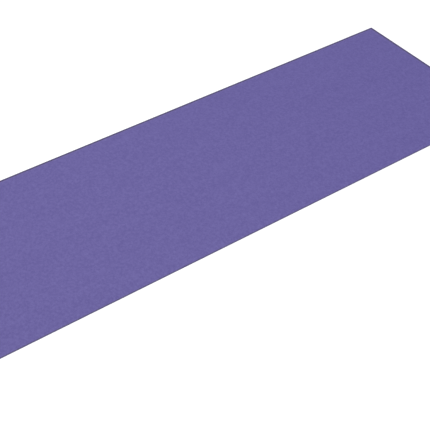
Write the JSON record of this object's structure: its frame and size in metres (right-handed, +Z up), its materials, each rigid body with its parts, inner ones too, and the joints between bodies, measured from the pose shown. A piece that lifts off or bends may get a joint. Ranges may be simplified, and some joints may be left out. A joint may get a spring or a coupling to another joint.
{
  "type": "yoga mat",
  "caption": "Thin flat rectangular floor mat of closed-cell foam around a polyester scrim, unrolled, with a fine grip texture for exercise.",
  "frame": {"origin": "middle of the mat's underside, on the floor", "axes": "+X along the mat's length, +Y across its width, +Z up, out of the face that is stood on"},
  "size_m": [1.83, 0.61, 0.004],
  "materials": {
    "upper_foam": "matte",
    "scrim_polyester": "matte",
    "lower_foam": "matte"
  },
  "bodies": {
    "root": {"upper_foam_layer": "upper_foam", "reinforcing_scrim": "scrim_polyester", "lower_foam_layer": "lower_foam"}
  },
  "joints": []
}
